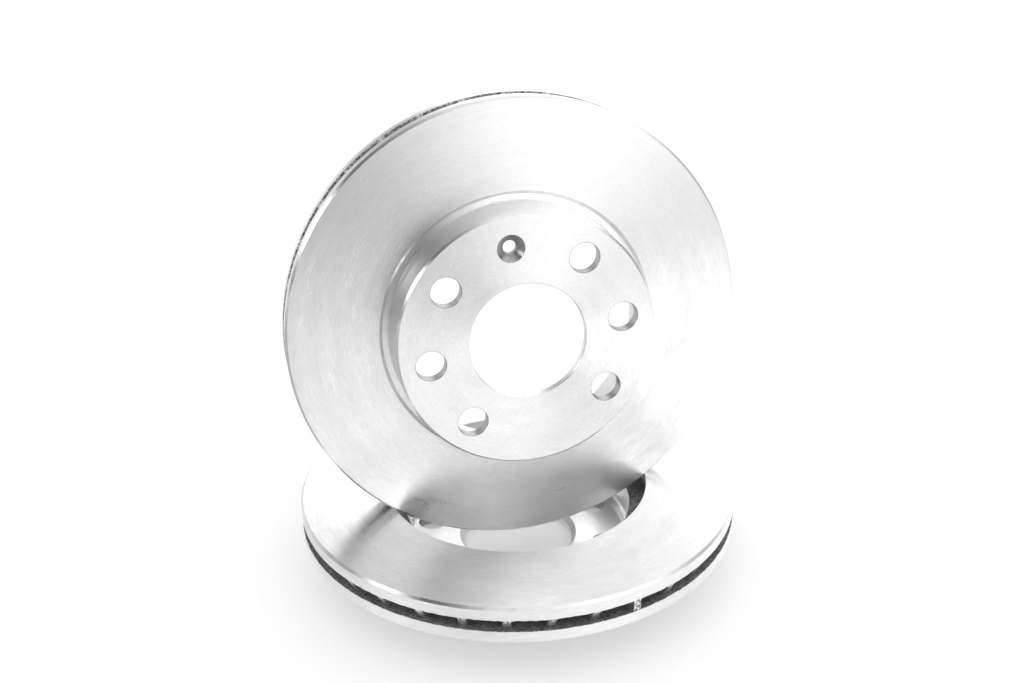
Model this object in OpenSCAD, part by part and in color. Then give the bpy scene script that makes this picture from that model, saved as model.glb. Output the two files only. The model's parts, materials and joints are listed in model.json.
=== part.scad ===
// A pair of ventilated brake discs. One lies hat down on the floor, and the
// other stands on its rim in the lying disc's round central hole.
// Millimetres, +Z up. The origin is the centre of the lying disc's hat face,
// on the floor, and the standing disc leans back towards +Y.
// Each disc is one iron casting: a hat with a flange that bolts between hub and
// wheel, and a ring of two plates held apart by radial vanes.

/* [Friction ring] */
// Outside diameter of the ring
disc_d = 236; // [200:1:300]
// Thickness over the two friction faces
ring_thickness = 20; // [18:0.5:26]
// Thickness of the plate on the wheel side, which carries the hat
outboard_plate = 6.9; // [5:0.1:8]
// Thickness of the plate on the hub side
inboard_plate = 6.8; // [5:0.1:8]
// Chamfer round each rim edge
rim_chamfer = 1.2; // [0.5:0.1:2]
// Diameter of the round hole in the plate on the hub side
inboard_hole_d = 141.3; // [130:0.1:175]
// Broken edge round each friction face's inside
inner_edge_chamfer = 0.3; // [0.1:0.1:1]

/* [Vanes] */
// Number of vanes between the plates
vane_count = 34; // [20:1:44]
// Thickness of a vane at its waist
vane_waist = 3.8; // [2.5:0.1:6]
// Radius of the flare where a vane meets each plate
vane_root_radius = 2; // [0.5:0.1:3]
// How far the vanes begin outside the hub-side plate's hole, and clear of the hat
vane_set_back = 5.35; // [3:0.05:20]
// How far a vane's foot stops short of the rim, on the wheel side
vane_recess = 3.2; // [1:0.1:6]
// Angle of the first vane
vane_start_angle = 2.9; // [0:0.1:10]
// Number of the vane that was cast full length, and so is turned with the rim
full_vane = 25; // [0:1:43]

/* [Hat] */
// Outside diameter of the hat
hat_d = 132.8; // [130:0.1:160]
// Height from the hat's face to the friction face beside it
hat_height = 21; // [12:0.5:40]
// Chamfer round the hat's face
hat_chamfer = 1.2; // [0.5:0.1:3]
// Thickness of the flange that is clamped between hub and wheel
flange_thickness = 6.5; // [5:0.1:9]
// Thickness of the hat's wall round the recess that the hub's flange sits in
hat_wall = 6.6; // [4:0.1:8]
// Height of that recess, up to its ledge
hub_recess_height = 6.2; // [3:0.1:9]
// Step outwards at the ledge
ledge_step = 1.1; // [0.5:0.1:2]
// Widening of the hat's inside from the ledge up to the vent gap
mouth_taper = 1.1; // [0:0.1:3]
// Radius in the recess's corner
recess_corner_radius = 0.8; // [0.4:0.1:2]

/* [Relief groove] */
// Width of the groove between the hat and the friction face
relief_width = 5.1; // [3:0.1:8]
// Depth of the groove below the friction face
relief_depth = 1.5; // [0.8:0.1:2.5]
// Width of the groove's slanting outer side
relief_slope = 1.7; // [0.5:0.1:2.5]
// Radius at the foot of the hat's wall
foot_radius = 1; // [0.4:0.1:1.4]

/* [Holes] */
// Diameter of the hub bore
hub_bore_d = 60; // [50:0.1:72]
// Chamfer that leads the hub's spigot into the bore
hub_lead_in = 2.7; // [1:0.1:3.5]
// Diameter of the circle that the bolt holes lie on
bolt_circle_d = 100; // [83:0.5:104]
// Diameter of each bolt hole
bolt_hole_d = 15.4; // [11:0.1:17]
// Diameter of the circle that the locating screw's hole lies on
screw_circle_d = 98; // [83:0.5:104]
// Diameter of that hole
screw_hole_d = 6.8; // [5:0.1:9]
// Diameter of the hole's countersink
countersink_d = 14.2; // [11:0.1:15]
// Broken edge round the bore and the bolt holes
hole_edge_chamfer = 0.3; // [0.1:0.1:0.6]

/* [Arrangement] */
// How far the standing disc leans back from upright
lean = 3.6; // [0:0.1:8]
// Turn of the standing disc about its own axis
standing_turn = -8.2; // [-45:0.1:45]
// Turn of the lying disc about its own axis
lying_turn = 17.7; // [-45:0.1:45]
// Clearance between the standing disc's rim and the hole it stands in
seat_gap = 0.3; // [0.1:0.1:1]

/* [Hidden] */
$fn = 180;

// places of the bolt holes round their circle: two opposite places stay free,
// and the locating screw's hole takes one of them
bolt_angles = [0, 45, 135, 180, 225, 315];
screw_angle = 270;

disc_r = disc_d / 2;
hat_r = hat_d / 2;
hub_bore_r = hub_bore_d / 2;
inboard_hole_r = inboard_hole_d / 2;
hub_recess_r = hat_r - hat_wall;
relief_r = hat_r + relief_width;
vane_inner_r = max(hat_r, inboard_hole_r) + vane_set_back;

// heights above the hat's face
relief_floor_z = hat_height + relief_depth;
vent_floor_z = hat_height + outboard_plate;
top_z = hat_height + ring_thickness;
vent_roof_z = top_z - inboard_plate;
vent_gap = vent_roof_z - vent_floor_z;
ledge_z = flange_thickness + hub_recess_height;
ledge_r = hub_recess_r + ledge_step;
mouth_r = ledge_r + mouth_taper;

// how far shapes run into each other, or past a face that they cut
bite = 0.5;
// step that keeps the vanes' tips just inside the rim
tip_step = 0.1;

// The rim's two outermost edges lie on a sphere about the ring's centre. That
// sphere rests on a round edge inside the lying disc, whatever the lean.
rim_edge_z = ring_thickness / 2 - rim_chamfer;
rim_sphere_r = norm([disc_r, rim_edge_z]);
// height of the sphere's centre when it rests on an edge of that radius and height
function seat_height(edge_r, edge_z) = edge_z + sqrt(pow(rim_sphere_r + seat_gap, 2) - pow(edge_r, 2));
// it rests on the hub-side plate's hole, or in a wide hole on the first edge below
ring_centre_z = max(
    seat_height(inboard_hole_r + inner_edge_chamfer, top_z),
    seat_height(mouth_r, vent_floor_z),
    seat_height(hub_bore_r + hub_lead_in, flange_thickness)
);
// height of the ring's middle above the hat's face, along the disc's own axis
ring_middle = hat_height + ring_thickness / 2;

// ---- the casting, hat face down at z = 0 ----

// half section of the flange, the hat's wall and the plate on the wheel side
module hat_section() {
    difference() {
        union() {
            polygon([
                [hub_bore_r, 0],
                [hat_r - hat_chamfer, 0],
                [hat_r, hat_chamfer],
                [hat_r, relief_floor_z],
                [relief_r - relief_slope, relief_floor_z],
                [relief_r, hat_height],
                [disc_r - rim_chamfer, hat_height],
                [disc_r, hat_height + rim_chamfer],
                [disc_r, vent_floor_z],
                [mouth_r, vent_floor_z],
                [ledge_r, ledge_z + ledge_step],
                [hub_recess_r, ledge_z],
                [hub_recess_r, flange_thickness],
                [hub_bore_r, flange_thickness]
            ]);
            foot_fillet();
            recess_fillet();
        }
        bore_edges();
    }
}

// fillet between the hat's wall and the relief groove
module foot_fillet() {
    translate([hat_r, relief_floor_z - foot_radius])
        difference() {
            translate([-bite, 0])
                square([bite + foot_radius, foot_radius + bite]);
            translate([foot_radius, 0])
                circle(foot_radius);
        }
}

// fillet in the corner of the hub's recess
module recess_fillet() {
    translate([hub_recess_r - recess_corner_radius, flange_thickness])
        difference() {
            translate([0, -bite])
                square([recess_corner_radius + bite, recess_corner_radius + bite]);
            translate([0, recess_corner_radius])
                circle(recess_corner_radius);
        }
}

// lead-in and broken edge of the hub bore, as cuts in the half section
module bore_edges() {
    polygon([
        [hub_bore_r - bite, flange_thickness - hub_lead_in - bite],
        [hub_bore_r + hub_lead_in + bite, flange_thickness + bite],
        [hub_bore_r - bite, flange_thickness + bite]
    ]);
    polygon([
        [hub_bore_r - bite, hole_edge_chamfer + bite],
        [hub_bore_r + hole_edge_chamfer + bite, -bite],
        [hub_bore_r - bite, -bite]
    ]);
}

// half section of the plate on the hub side
module inboard_plate_section() {
    polygon([
        [inboard_hole_r, vent_roof_z],
        [disc_r, vent_roof_z],
        [disc_r, top_z - rim_chamfer],
        [disc_r - rim_chamfer, top_z],
        [inboard_hole_r + inner_edge_chamfer, top_z],
        [inboard_hole_r, top_z - inner_edge_chamfer]
    ]);
}

// cross section of one vane, waisted, which flares out as it meets each plate
module vane_section() {
    pocket_x = vane_waist / 2 + vane_root_radius;
    // the flare meets the plate at a slant, before its arc runs level
    arc_z = vent_gap / 2 - 0.8 * vane_root_radius;
    difference() {
        square([vane_waist + vane_root_radius, vent_gap + 2 * bite], center = true);
        for (side = [-1, 1])
            translate([side * pocket_x, 0]) {
                square([2 * vane_root_radius, 2 * arc_z], center = true);
                for (end = [-1, 1])
                    translate([0, end * arc_z])
                        circle(vane_root_radius);
            }
    }
}

// half section of the ring that the vanes fill, with their ends set back on
// the wheel side by recess
module vane_reach(recess) {
    tip_r = disc_r - tip_step;
    slope = recess / vent_gap;
    polygon([
        [vane_inner_r, vent_floor_z - 2 * bite],
        [tip_r - recess - 2 * bite * slope, vent_floor_z - 2 * bite],
        [tip_r, vent_roof_z],
        [tip_r - bite, vent_roof_z + 2 * bite],
        [vane_inner_r, vent_roof_z + 2 * bite]
    ]);
}

// the vanes with the numbers given, cut to their reach
module vanes(numbers, recess) {
    inner_r = vane_inner_r - bite;
    intersection() {
        for (number = numbers)
            rotate([0, 0, vane_start_angle + number * 360 / vane_count])
                translate([inner_r, 0, (vent_floor_z + vent_roof_z) / 2])
                    rotate([90, 0, 90])
                        linear_extrude(disc_r + bite - inner_r)
                            vane_section();
        rotate_extrude()
            vane_reach(recess);
    }
}

// one bolt hole with its broken edges
module bolt_hole() {
    edge_r = bolt_hole_d / 2 + hole_edge_chamfer + bite;
    edge_h = hole_edge_chamfer + bite;
    translate([0, 0, -bite])
        cylinder(d = bolt_hole_d, h = flange_thickness + 2 * bite);
    translate([0, 0, -bite])
        cylinder(r1 = edge_r, r2 = edge_r - edge_h, h = edge_h);
    translate([0, 0, flange_thickness - hole_edge_chamfer])
        cylinder(r1 = edge_r - edge_h, r2 = edge_r, h = edge_h);
}

// the locating screw's hole, countersunk from the hat's face
module screw_hole() {
    sink = (countersink_d - screw_hole_d) / 2;
    translate([0, 0, -bite])
        cylinder(d = screw_hole_d, h = flange_thickness + 2 * bite);
    translate([0, 0, -bite])
        cylinder(d1 = countersink_d + 2 * bite, d2 = screw_hole_d, h = sink + bite);
}

// moves a shape out to a place on a circle of that diameter
module on_circle(diameter, angle) {
    rotate([0, 0, angle])
        translate([diameter / 2, 0, 0])
            children();
}

// one whole disc
module disc_casting() {
    short_vanes = [for (number = [0 : vane_count - 1]) if (number != full_vane) number];
    difference() {
        union() {
            rotate_extrude()
                hat_section();
            rotate_extrude()
                inboard_plate_section();
            vanes(short_vanes, vane_recess);
            vanes([full_vane], 0);
        }
        for (angle = bolt_angles)
            on_circle(bolt_circle_d, angle)
                bolt_hole();
        on_circle(screw_circle_d, screw_angle)
            screw_hole();
    }
}

// ---- the two discs ----

module lying_disc() {
    color("gainsboro")
        rotate([0, 0, lying_turn])
            disc_casting();
}

module standing_disc() {
    color("silver")
        translate([0, 0, ring_centre_z])
            rotate([-90 - lean, 0, 0])
                rotate([0, 0, standing_turn])
                    translate([0, 0, -ring_middle])
                        disc_casting();
}

lying_disc();
standing_disc();
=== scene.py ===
import json
import math
import bmesh
import bpy
import numpy as np
from mathutils import Matrix, Vector, noise


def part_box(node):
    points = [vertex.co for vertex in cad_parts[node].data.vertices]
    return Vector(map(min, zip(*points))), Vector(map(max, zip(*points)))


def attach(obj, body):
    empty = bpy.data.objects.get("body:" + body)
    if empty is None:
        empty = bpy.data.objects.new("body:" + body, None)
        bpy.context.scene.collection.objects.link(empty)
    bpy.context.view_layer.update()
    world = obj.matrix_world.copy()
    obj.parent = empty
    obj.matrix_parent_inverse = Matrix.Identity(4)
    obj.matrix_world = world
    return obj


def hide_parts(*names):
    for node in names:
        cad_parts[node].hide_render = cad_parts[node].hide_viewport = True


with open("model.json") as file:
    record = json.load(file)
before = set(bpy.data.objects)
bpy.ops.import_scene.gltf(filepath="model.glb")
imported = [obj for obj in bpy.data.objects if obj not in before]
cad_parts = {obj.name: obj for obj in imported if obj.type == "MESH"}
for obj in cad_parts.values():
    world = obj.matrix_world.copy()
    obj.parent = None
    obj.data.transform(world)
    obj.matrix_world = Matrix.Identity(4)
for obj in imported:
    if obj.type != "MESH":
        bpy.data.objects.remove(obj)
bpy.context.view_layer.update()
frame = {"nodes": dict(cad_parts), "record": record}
mounts = {mount["name"]: mount for mount in frame["record"]["mounts"]}


def mount_place(name):
    return Vector(mounts[name]["pos_m"])


# ---- sizes, in metres, in a disc's own frame ----
# The own frame has its origin at the middle of the hat's face and +Z towards the hub.
# The lying disc has its hat's face on the floor, so its heights and radii are those of the row frame.
lowest_corner, highest_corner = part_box("lying_disc")
RIM_R = (highest_corner.x - lowest_corner.x) / 2
DISC_HEIGHT = highest_corner.z - lowest_corner.z
FLANGE = mount_place("lying_hub_face").z
HAT_HEIGHT = mount_place("lying_outboard_friction_face").z
BOLT_CIRCLE_R = mount_place("lying_bolt_hole_1").xy.length
OUTBOARD_PLATE = 0.0069
INBOARD_PLATE = 0.0068
VENT_FLOOR = HAT_HEIGHT + OUTBOARD_PLATE
VENT_ROOF = DISC_HEIGHT - INBOARD_PLATE
# how far the drilled holes and their edges reach on either side of the bolt circle
DRILLED_REACH = 0.0085

# the material numbers of a disc's faces, and what tells the faces apart
TURNED, DRILLED, CAST = 0, 1, 2
ON_PLANE = 1e-5
FLAT_NORMAL = 0.995
WELD_DISTANCE = 1e-6
SHARP_EDGE = math.radians(24)

# ---- raw casting in the vents ----
# how often a long edge may be cut in half
MOST_CUTS = 9
# longest mesh edge where the vents can be seen into, and between those two radii
CAST_GRAIN = 0.0018
CAST_GRAIN_HIDDEN = 0.012
CAST_SEEN_FROM = 0.112
CAST_SEEN_TO = 0.072
LUMP_HEIGHT = 0.00034
LUMP_SIZE = 0.0026
GRIT_HEIGHT = 0.00016
GRIT_SIZE = 0.0010
GRIT_OFFSET = Vector((7, 3, 5))
# the lumps stop this far inside the turned rim
RIM_INSET = 0.00005

# ---- studio ----
STUDIO_LIGHT = 1.0
# how wide a panel's soft edge is, in degrees
PANEL_EDGE = 18
# azimuth, elevation, half width and half height in degrees, and the light added or taken away
PANELS = {
    "photographer": (-112, 10, 27, 22, -0.95),
    "right_softbox": (-62, 12, 28, 20, 1.3),
    "high_softbox": (-30, 42, 35, 13, 0.4),
    "right_wall": (-14, 8, 24, 20, -0.9),
    "back_softbox": (60, 22, 30, 20, 0.75),
    "left_wall": (180, 2, 34, 9, -0.85),
    "left_ceiling": (160, 52, 64, 26, -0.95),
    "left_lamp": (-172, 24, 9, 7, 9.0),
}
# parts of the floor as the metal's reflections see them: from x, y to x, y, and their light
REFLECTED_FLOORS = {
    "floor_behind_camera": (-4.0, -5.0, 1.2, -0.78, 0.3),
    "floor_to_the_left": (-1.6, -0.78, -0.17, 0.3, 0.52),
    "floor_to_the_right": (0.13, -0.55, 0.6, 0.0, 1.5),
}
REFLECTED_FLOOR_HEIGHT = 0.002
FLOOR_SIZE = 12
FLOOR_GREY = 0.92
FLOOR_ROUGHNESS = 0.6
FLOOR_GLOW = 0.17

# ---- camera ----
CAMERA_PLACE = Vector((-0.13685, -0.57426, 0.39516))
CAMERA_AZIMUTH = math.radians(13.306)
CAMERA_TILT = math.radians(24.66)
CAMERA_ROLL = math.radians(-1.274)
CAMERA_LENS = 43.573
SENSOR_WIDTH = 36


# ---- shapes ----
def own_frame(disc):
    """Matrix from the disc's own frame to the row frame, from the record's mounts."""
    bore_place = mount_place(disc + "_hub_bore")
    z_axis = Vector(mounts[disc + "_hub_bore"]["axis"]).normalized()
    to_face = mount_place(disc + "_wheel_face") - bore_place
    origin = bore_place + z_axis * to_face.dot(z_axis)
    to_screw = mount_place(disc + "_locating_screw") - origin
    y_axis = -(to_screw - z_axis * to_screw.dot(z_axis)).normalized()
    x_axis = y_axis.cross(z_axis)
    matrix = Matrix((x_axis, y_axis, z_axis)).transposed().to_4x4()
    matrix.translation = origin
    return matrix


def radius(place):
    return math.hypot(place.x, place.y)


def is_cast(centre):
    """True on what stays as cast: the vents' floors and roofs, and the vanes."""
    return VENT_FLOOR - ON_PLANE < centre.z < VENT_ROOF + ON_PLANE


def is_drilled(centre, normal):
    """True on the walls and edges of the bolt holes and of the locating screw's hole."""
    near_circle = abs(radius(centre) - BOLT_CIRCLE_R) < DRILLED_REACH
    in_flange = centre.z < FLANGE + ON_PLANE
    return near_circle and in_flange and abs(normal.z) < FLAT_NORMAL


def surface_kind(face):
    centre = face.calc_center_median()
    if is_cast(centre):
        return CAST
    return DRILLED if is_drilled(centre, face.normal) else TURNED


def longest_edge(places):
    """How long a cast edge may be at each place: short where the vents can be seen into."""
    radii = np.hypot(places[:, 0], places[:, 1])
    seen = (radii > CAST_SEEN_FROM) | (radii < CAST_SEEN_TO)
    return np.where(seen, CAST_GRAIN, CAST_GRAIN_HIDDEN)


def split_triangle(corners, middles):
    """The triangles that replace one. Each edge has its middle point's number, or None where uncut."""
    cuts = sum(middle is not None for middle in middles)
    if cuts == 0:
        return [corners]
    while middles[0] is None or (cuts == 2 and middles[1] is None):
        corners, middles = corners[1:] + corners[:1], middles[1:] + middles[:1]
    (a, b, c), (ab, bc, ca) = corners, middles
    if cuts == 1:
        return [(a, ab, c), (ab, b, c)]
    if cuts == 2:
        return [(ab, b, bc), (a, ab, bc), (a, bc, c)]
    return [(a, ab, ca), (ab, b, bc), (ca, bc, c), (ab, bc, ca)]


def refine_castings(points, triangles, kinds):
    """Cuts the long edges of the cast triangles in half until the lumps can show in the mesh."""
    for _ in range(MOST_CUTS):
        # each edge once, as a sorted pair of point numbers, and the three edges of each triangle
        sides = np.sort(np.stack([triangles, np.roll(triangles, -1, axis=1)], axis=2), axis=2)
        edges, edge_of = np.unique(sides.reshape(-1, 2), axis=0, return_inverse=True)
        edge_of = edge_of.reshape(-1, 3)
        ends = points[edges]
        places = ends.mean(axis=1)
        is_long = np.linalg.norm(ends[:, 0] - ends[:, 1], axis=1) > longest_edge(places)
        on_cast = np.zeros(len(edges), bool)
        on_cast[edge_of[kinds == CAST].ravel()] = True
        cut = is_long & on_cast
        if not cut.any():
            break
        numbers = np.where(cut, len(points) + np.cumsum(cut) - 1, -1)
        points = np.vstack([points, places[cut]])
        middles = [tuple(None if m < 0 else m for m in row) for row in numbers[edge_of].tolist()]
        pieces = [split_triangle(*pair) for pair in zip(map(tuple, triangles.tolist()), middles)]
        kinds = np.repeat(kinds, [len(piece) for piece in pieces])
        triangles = np.array([triangle for piece in pieces for triangle in piece])
    return points, triangles, kinds


def lump_height(place):
    lumps = noise.noise(place / LUMP_SIZE)
    grit = noise.noise(place / GRIT_SIZE + GRIT_OFFSET)
    return LUMP_HEIGHT * lumps + GRIT_HEIGHT * grit


def roughen_castings(mesh_edit):
    """Moves the cast faces in and out. Where they meet a machined face they only move along the axis."""
    moves = []
    for vertex in mesh_edit.verts:
        cast_faces = [face for face in vertex.link_faces if face.material_index == CAST]
        if not cast_faces:
            continue
        direction = sum((face.normal for face in cast_faces), Vector()).normalized()
        at_edge = len(cast_faces) < len(vertex.link_faces)
        if at_edge:
            direction = Vector((0, 0, direction.z))
        moves.append((vertex, direction * lump_height(vertex.co), at_edge))
    for vertex, move, at_edge in moves:
        vertex.co += move
        beyond = radius(vertex.co) / (RIM_R - RIM_INSET)
        if beyond > 1 and not at_edge:
            vertex.co.x /= beyond
            vertex.co.y /= beyond


def disc_mesh(cad_node, own):
    """The disc's shape in its own frame, with a material number on each face."""
    cad_shape = frame["nodes"][cad_node].data.copy()
    cad_shape.transform(own.inverted())
    cad_edit = bmesh.new()
    cad_edit.from_mesh(cad_shape)
    bpy.data.meshes.remove(cad_shape)
    bmesh.ops.remove_doubles(cad_edit, verts=cad_edit.verts, dist=WELD_DISTANCE)
    bmesh.ops.triangulate(cad_edit, faces=cad_edit.faces)
    cad_edit.verts.index_update()
    points = np.array([vertex.co for vertex in cad_edit.verts])
    triangles = np.array([[vertex.index for vertex in face.verts] for face in cad_edit.faces])
    kinds = np.array([surface_kind(face) for face in cad_edit.faces])
    cad_edit.free()
    points, triangles, kinds = refine_castings(points, triangles, kinds)
    mesh = bpy.data.meshes.new(cad_node + "_iron")
    mesh.from_pydata(points.tolist(), [], triangles.tolist())
    mesh_edit = bmesh.new()
    mesh_edit.from_mesh(mesh)
    for face, kind in zip(mesh_edit.faces, kinds.tolist()):
        face.material_index = kind
        face.smooth = True
    mesh_edit.normal_update()
    roughen_castings(mesh_edit)
    mesh_edit.to_mesh(mesh)
    mesh_edit.free()
    mesh.set_sharp_from_angle(angle=SHARP_EDGE)
    return mesh


# ---- materials ----
# A pair is a range. Noise over its range is carried over to greys and roughness, end for end.
TURNED_NOISE = (0.35, 0.65)
TURNED_GREYS = (0.78, 0.93)
TURNED_ROUGHNESS = (0.41, 0.25)
TURNED_ANISOTROPY = 0.8
# In one turn the rings' place goes round a circle this small, so the marks are long.
MARKS_CIRCLE = 0.012
# how much the rings' place changes along the axis, against 1 outwards
ALONG_AXIS = 0.8

DRILLED_NOISE = (0.3, 0.7)
DRILLED_GREYS = (0.36, 0.52)
DRILLED_ROUGHNESS = 0.36
DRILLED_ANISOTROPY = 0.6

CAST_NOISE = (0.38, 0.62)
CAST_GREYS = (0.11, 0.34)
CAST_ROUGHNESS = (0.75, 0.5)
CAST_METALLIC = 0.3
# Painted light: grains of the grit are drawn lighter near the rim, and there near the vents' roofs and
# on the full vane's end, where light reaches into the vents.
PAINTED_LIGHT_AT_RIM = (RIM_R - 0.0016, RIM_R - 0.0006)
PAINTED_LIGHT_AT_ROOF = (VENT_FLOOR + 0.0022, VENT_FLOOR + 0.0042)
PAINTED_LIGHT_AT_VANE_END = (RIM_R - 0.0004, RIM_R - 0.0002)
PAINTED_LIGHT_NOISE = (0.42, 0.58)
PAINTED_LIGHT_GREYS = (0, 0.55)

# a quarter of a turn, so that the highlights spread across the marks that the tangent runs along
ACROSS_MARKS = 0.25
# how far the noise moves from one disc to the next
SEED_STEP = Vector((0.37, 0.53, 0.71))
OFF_TO_ON = (0, 1)
ON_TO_OFF = (1, 0)


class Shader:
    """A node tree whose nodes are added one by one and joined by their sockets."""

    def __init__(self, tree, last_node):
        """The last node is the one that the tree's own output reads."""
        self.tree = tree
        self.surface = tree.nodes[last_node]

    def add(self, kind, inputs=None, **settings):
        node = self.tree.nodes.new("ShaderNode" + kind)
        for setting, value in settings.items():
            setattr(node, setting, value)
        for socket, value in (inputs or {}).items():
            self.feed(node, socket, value)
        return node

    def feed(self, node, socket, value):
        """Sets a socket to a value, or links it to another node's socket."""
        if isinstance(value, bpy.types.NodeSocket):
            self.tree.links.new(value, node.inputs[socket])
        else:
            node.inputs[socket].default_value = value

    def feed_surface(self, **values):
        """Feeds the last node. A socket's name has its spaces written as underscores."""
        for socket, value in values.items():
            self.feed(self.surface, socket.replace("_", " "), value)

    def math(self, operation, first, second=0.0):
        return self.add("Math", {0: first, 1: second}, operation=operation).outputs[0]

    def vector_math(self, operation, first, second=(0, 0, 0), output="Vector"):
        return self.add("VectorMath", {0: first, 1: second}, operation=operation).outputs[output]

    def noise(self, vector, scale, detail=2.0, roughness=0.5):
        inputs = {"Vector": vector, "Scale": scale, "Detail": detail, "Roughness": roughness}
        return self.add("TexNoise", inputs).outputs["Fac"]

    def mixed(self, *shares):
        """The sum of some values, each times its share."""
        total = 0.0
        for value, share in shares:
            total = self.math("ADD", total, self.math("MULTIPLY", value, share))
        return total

    def spread(self, value, old_range, new_range):
        """The value carried over from one range to another, and kept inside it."""
        inputs = dict(enumerate((value, *old_range, *new_range)))
        return self.add("MapRange", inputs).outputs[0]

    def grey(self, value):
        return self.add("CombineColor", {0: value, 1: value, 2: value}).outputs[0]

    def bump(self, height, strength, distance):
        inputs = {"Strength": strength, "Distance": distance, "Height": height}
        return self.add("Bump", inputs).outputs[0]

    def own_place(self):
        """Place from the middle of the hat's face, in metres, with Z along the disc's axis."""
        return self.add("TexCoord").outputs["Object"]

    def moved(self, place, seed):
        """The place moved by the seed, so that each disc has marks of its own."""
        return self.vector_math("ADD", place, seed * SEED_STEP)

    def ring_radius(self, place):
        flat = self.vector_math("MULTIPLY", place, (1, 1, 0))
        return self.vector_math("LENGTH", flat, output="Value")

    def ring_place(self, place):
        """Place that changes quickly across the turning marks and slowly along them."""
        x, y, z = self.add("SeparateXYZ", {0: place}).outputs
        angle = self.math("ARCTAN2", y, x)
        across = self.math("ADD", self.ring_radius(place), self.math("MULTIPLY", z, ALONG_AXIS))
        east = self.math("MULTIPLY", self.math("COSINE", angle), MARKS_CIRCLE)
        north = self.math("MULTIPLY", self.math("SINE", angle), MARKS_CIRCLE)
        return self.add("CombineXYZ", {0: across, 1: east, 2: north}).outputs[0]


def new_material(name):
    """A new material, and the shader that fills it."""
    material = bpy.data.materials.new(name)
    material.use_nodes = True
    return material, Shader(material.node_tree, "Principled BSDF")


def turned_iron(name, seed):
    """Lathe-turned iron: fine rings, faint smudges, and highlights spread across the rings."""
    material, shader = new_material(name)
    own = shader.own_place()
    moved = shader.moved(own, seed)
    rings = shader.ring_place(own)
    marks = shader.noise(rings, scale=1500, detail=3, roughness=0.6)
    bands = shader.noise(rings, scale=170, detail=2)
    smudges = shader.noise(moved, scale=38, detail=4, roughness=0.55)
    grains = shader.noise(moved, scale=1400, detail=1)
    mixed = shader.mixed((marks, 0.45), (bands, 0.2), (smudges, 0.2), (grains, 0.15))
    shader.feed_surface(
        Base_Color=shader.grey(shader.spread(mixed, TURNED_NOISE, TURNED_GREYS)),
        Metallic=1.0,
        Roughness=shader.spread(mixed, TURNED_NOISE, TURNED_ROUGHNESS),
        Anisotropic=TURNED_ANISOTROPY,
        Anisotropic_Rotation=ACROSS_MARKS,
        Tangent=shader.add("Tangent", direction_type="RADIAL", axis="Z").outputs[0],
        Normal=shader.bump(marks, strength=0.25, distance=0.00004),
    )
    return material


def drilled_iron(name, seed):
    """Hole walls: marks run round each hole, so the highlights spread along it."""
    material, shader = new_material(name)
    grains = shader.noise(shader.moved(shader.own_place(), seed), scale=900, detail=3)
    spaces = {"vector_type": "VECTOR", "convert_from": "OBJECT", "convert_to": "WORLD"}
    axis = shader.add("VectorTransform", {0: (0, 0, 1)}, **spaces).outputs[0]
    normal = shader.add("NewGeometry").outputs["Normal"]
    shader.feed_surface(
        Base_Color=shader.grey(shader.spread(grains, DRILLED_NOISE, DRILLED_GREYS)),
        Metallic=1.0,
        Roughness=DRILLED_ROUGHNESS,
        Anisotropic=DRILLED_ANISOTROPY,
        Anisotropic_Rotation=ACROSS_MARKS,
        Tangent=shader.vector_math("CROSS_PRODUCT", axis, normal),
    )
    return material


def cast_iron(name, seed):
    """Raw casting: dark, dull and gritty, with painted light on grains of the grit near the rim."""
    material, shader = new_material(name)
    own = shader.own_place()
    moved = shader.moved(own, seed)
    blotches = shader.noise(moved, scale=260, detail=3, roughness=0.6)
    grit = shader.noise(moved, scale=900, detail=3, roughness=0.6)
    mixed = shader.mixed((blotches, 0.4), (grit, 0.6))
    dark = shader.spread(mixed, CAST_NOISE, CAST_GREYS)
    ring_radius = shader.ring_radius(own)
    height = shader.add("SeparateXYZ", {0: own}).outputs[2]
    # Painted light: these masks mark where the grit is drawn lighter, near the rim and there near the
    # vents' roofs and on the full vane's end.
    near_rim = shader.spread(ring_radius, PAINTED_LIGHT_AT_RIM, OFF_TO_ON)
    near_roof = shader.spread(height, PAINTED_LIGHT_AT_ROOF, OFF_TO_ON)
    full_vane_end = shader.spread(ring_radius, PAINTED_LIGHT_AT_VANE_END, OFF_TO_ON)
    painted_light_mask = shader.math("MULTIPLY", near_rim, shader.math("MAXIMUM", near_roof, full_vane_end))
    # These grains are painted light, added to the dark cast colour.
    grains = shader.math("MULTIPLY", painted_light_mask, shader.spread(grit, PAINTED_LIGHT_NOISE, PAINTED_LIGHT_GREYS))
    shader.feed_surface(
        Base_Color=shader.grey(shader.math("ADD", dark, grains)),
        Metallic=CAST_METALLIC,
        Roughness=shader.spread(mixed, CAST_NOISE, CAST_ROUGHNESS),
        Normal=shader.bump(grit, strength=0.7, distance=0.0002),
    )
    return material


# ---- pieces ----
def level_frame(own):
    """The own frame turned about its Z until its X is the row's, which keeps the piece's box tight.

    Both discs' axes are square to the row's X.
    """
    z_axis = own.col[2].xyz
    x_axis = Vector((1, 0, 0))
    matrix = Matrix((x_axis, z_axis.cross(x_axis), z_axis)).transposed().to_4x4()
    matrix.translation = own.translation
    return matrix


def make_discs():
    """Both discs are one shape, placed twice, with marks of its own on each."""
    one_shape = disc_mesh("lying_disc", own_frame("lying"))
    for seed, disc in enumerate(("lying", "standing")):
        own = own_frame(disc)
        level = level_frame(own)
        shape = one_shape.copy()
        shape.name = disc + "_disc_iron"
        shape.transform(level.inverted() @ own)
        piece = bpy.data.objects.new(disc + "_disc_iron", shape)
        bpy.context.scene.collection.objects.link(piece)
        piece.matrix_world = level
        shape.materials.append(turned_iron(disc + "_turned_iron", seed))
        shape.materials.append(drilled_iron(disc + "_drilled_iron", seed))
        shape.materials.append(cast_iron(disc + "_cast_iron", seed))
        bpy.context.view_layer.update()
        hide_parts(disc + "_disc")
        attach(piece, disc + "_disc")
    bpy.data.meshes.remove(one_shape)


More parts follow.
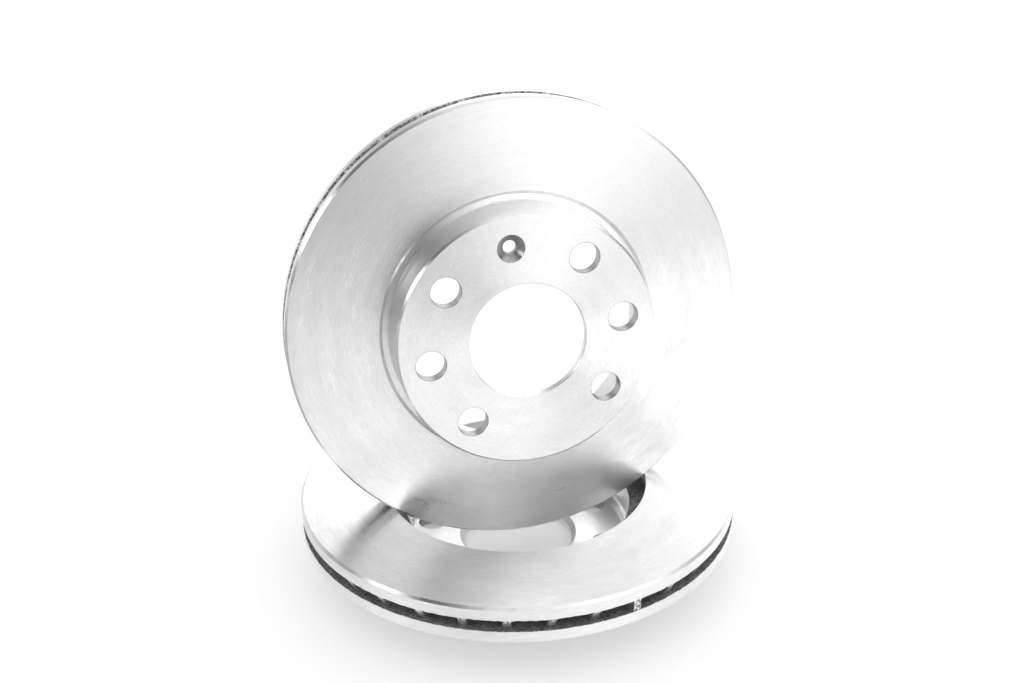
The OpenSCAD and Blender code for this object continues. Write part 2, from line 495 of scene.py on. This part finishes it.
# ---- studio ----
def make_camera():
    forward = Vector((
        math.sin(CAMERA_AZIMUTH) * math.cos(CAMERA_TILT),
        math.cos(CAMERA_AZIMUTH) * math.cos(CAMERA_TILT),
        -math.sin(CAMERA_TILT),
    ))
    level = Vector((math.cos(CAMERA_AZIMUTH), -math.sin(CAMERA_AZIMUTH), 0))
    right = math.cos(CAMERA_ROLL) * level + math.sin(CAMERA_ROLL) * level.cross(forward)
    up = right.cross(forward)
    data = bpy.data.cameras.new("camera")
    data.lens = CAMERA_LENS
    data.sensor_width = SENSOR_WIDTH
    camera = bpy.data.objects.new("camera", data)
    bpy.context.scene.collection.objects.link(camera)
    axes = Matrix((right, up, -forward)).transposed().to_4x4()
    axes.translation = CAMERA_PLACE
    camera.matrix_world = axes
    bpy.context.scene.camera = camera


def make_floor():
    bpy.ops.mesh.primitive_plane_add(size=FLOOR_SIZE)
    floor = bpy.context.object
    floor.name = "floor"
    material, shader = new_material("floor")
    shader.feed_surface(
        Base_Color=(FLOOR_GREY, FLOOR_GREY, FLOOR_GREY, 1),
        Roughness=FLOOR_ROUGHNESS,
        Emission_Color=(1, 1, 1, 1),
        Emission_Strength=FLOOR_GLOW,
    )
    floor.data.materials.append(material)


def make_reflected_floor(name, west, south, east, north, light):
    """A card on the floor that is seen only in the metal's reflections."""
    mesh = bpy.data.meshes.new(name)
    corners = [(west, south), (east, south), (east, north), (west, north)]
    mesh.from_pydata([(x, y, REFLECTED_FLOOR_HEIGHT) for x, y in corners], [], [(0, 1, 2, 3)])
    card = bpy.data.objects.new(name, mesh)
    bpy.context.scene.collection.objects.link(card)
    card.visible_camera = False
    card.visible_diffuse = False
    card.visible_shadow = False
    material, shader = new_material(name)
    shader.feed_surface(
        Base_Color=(0, 0, 0, 1),
        Specular_IOR_Level=0.0,
        Emission_Color=(1, 1, 1, 1),
        Emission_Strength=light,
    )
    mesh.materials.append(material)


def within(shader, angle, limit, soft_edge):
    """1 inside the limit and 0 outside it, changing across the soft edge, both in degrees."""
    edge = (math.radians(limit - soft_edge / 2), math.radians(limit + soft_edge / 2))
    return shader.spread(angle, edge, ON_TO_OFF)


def panel(shader, direction, azimuth, elevation, half_width, half_height, strength):
    """One panel's light by direction."""
    middle = Vector((math.cos(math.radians(azimuth)), math.sin(math.radians(azimuth)), 0))
    flat = shader.vector_math("MULTIPLY", direction, (1, 1, 0))
    flat = shader.vector_math("NORMALIZE", flat)
    facing = shader.vector_math("DOT_PRODUCT", flat, middle, output="Value")
    aside = shader.math("ARCCOSINE", facing)
    raised = shader.math("ARCSINE", shader.add("SeparateXYZ", {0: direction}).outputs[2])
    above = shader.math("ABSOLUTE", shader.math("SUBTRACT", raised, math.radians(elevation)))
    soft_edge = min(PANEL_EDGE, half_width)
    in_width = within(shader, aside, half_width, soft_edge)
    in_height = within(shader, above, half_height, soft_edge)
    return shader.math("MULTIPLY", shader.math("MULTIPLY", in_width, in_height), strength)


def make_world():
    """A white studio. Its panels are seen only in the metal's reflections."""
    world = bpy.data.worlds.new("world")
    world.use_nodes = True
    shader = Shader(world.node_tree, "Background")
    direction = shader.add("TexCoord").outputs["Generated"]
    light = STUDIO_LIGHT
    for place in PANELS.values():
        light = shader.math("ADD", panel(shader, direction, *place), light)
    light = shader.math("MAXIMUM", light, 0.0)
    is_glossy = shader.add("LightPath").outputs["Is Glossy Ray"]
    light = shader.add("Mix", {0: is_glossy, 2: STUDIO_LIGHT, 3: light}).outputs[0]
    shader.feed_surface(Strength=light, Color=(1, 1, 1, 1))
    bpy.context.scene.world = world
    bpy.context.scene.view_settings.view_transform = "Standard"


make_discs()
make_camera()
make_floor()
for name, extent in REFLECTED_FLOORS.items():
    make_reflected_floor(name, *extent)
make_world()
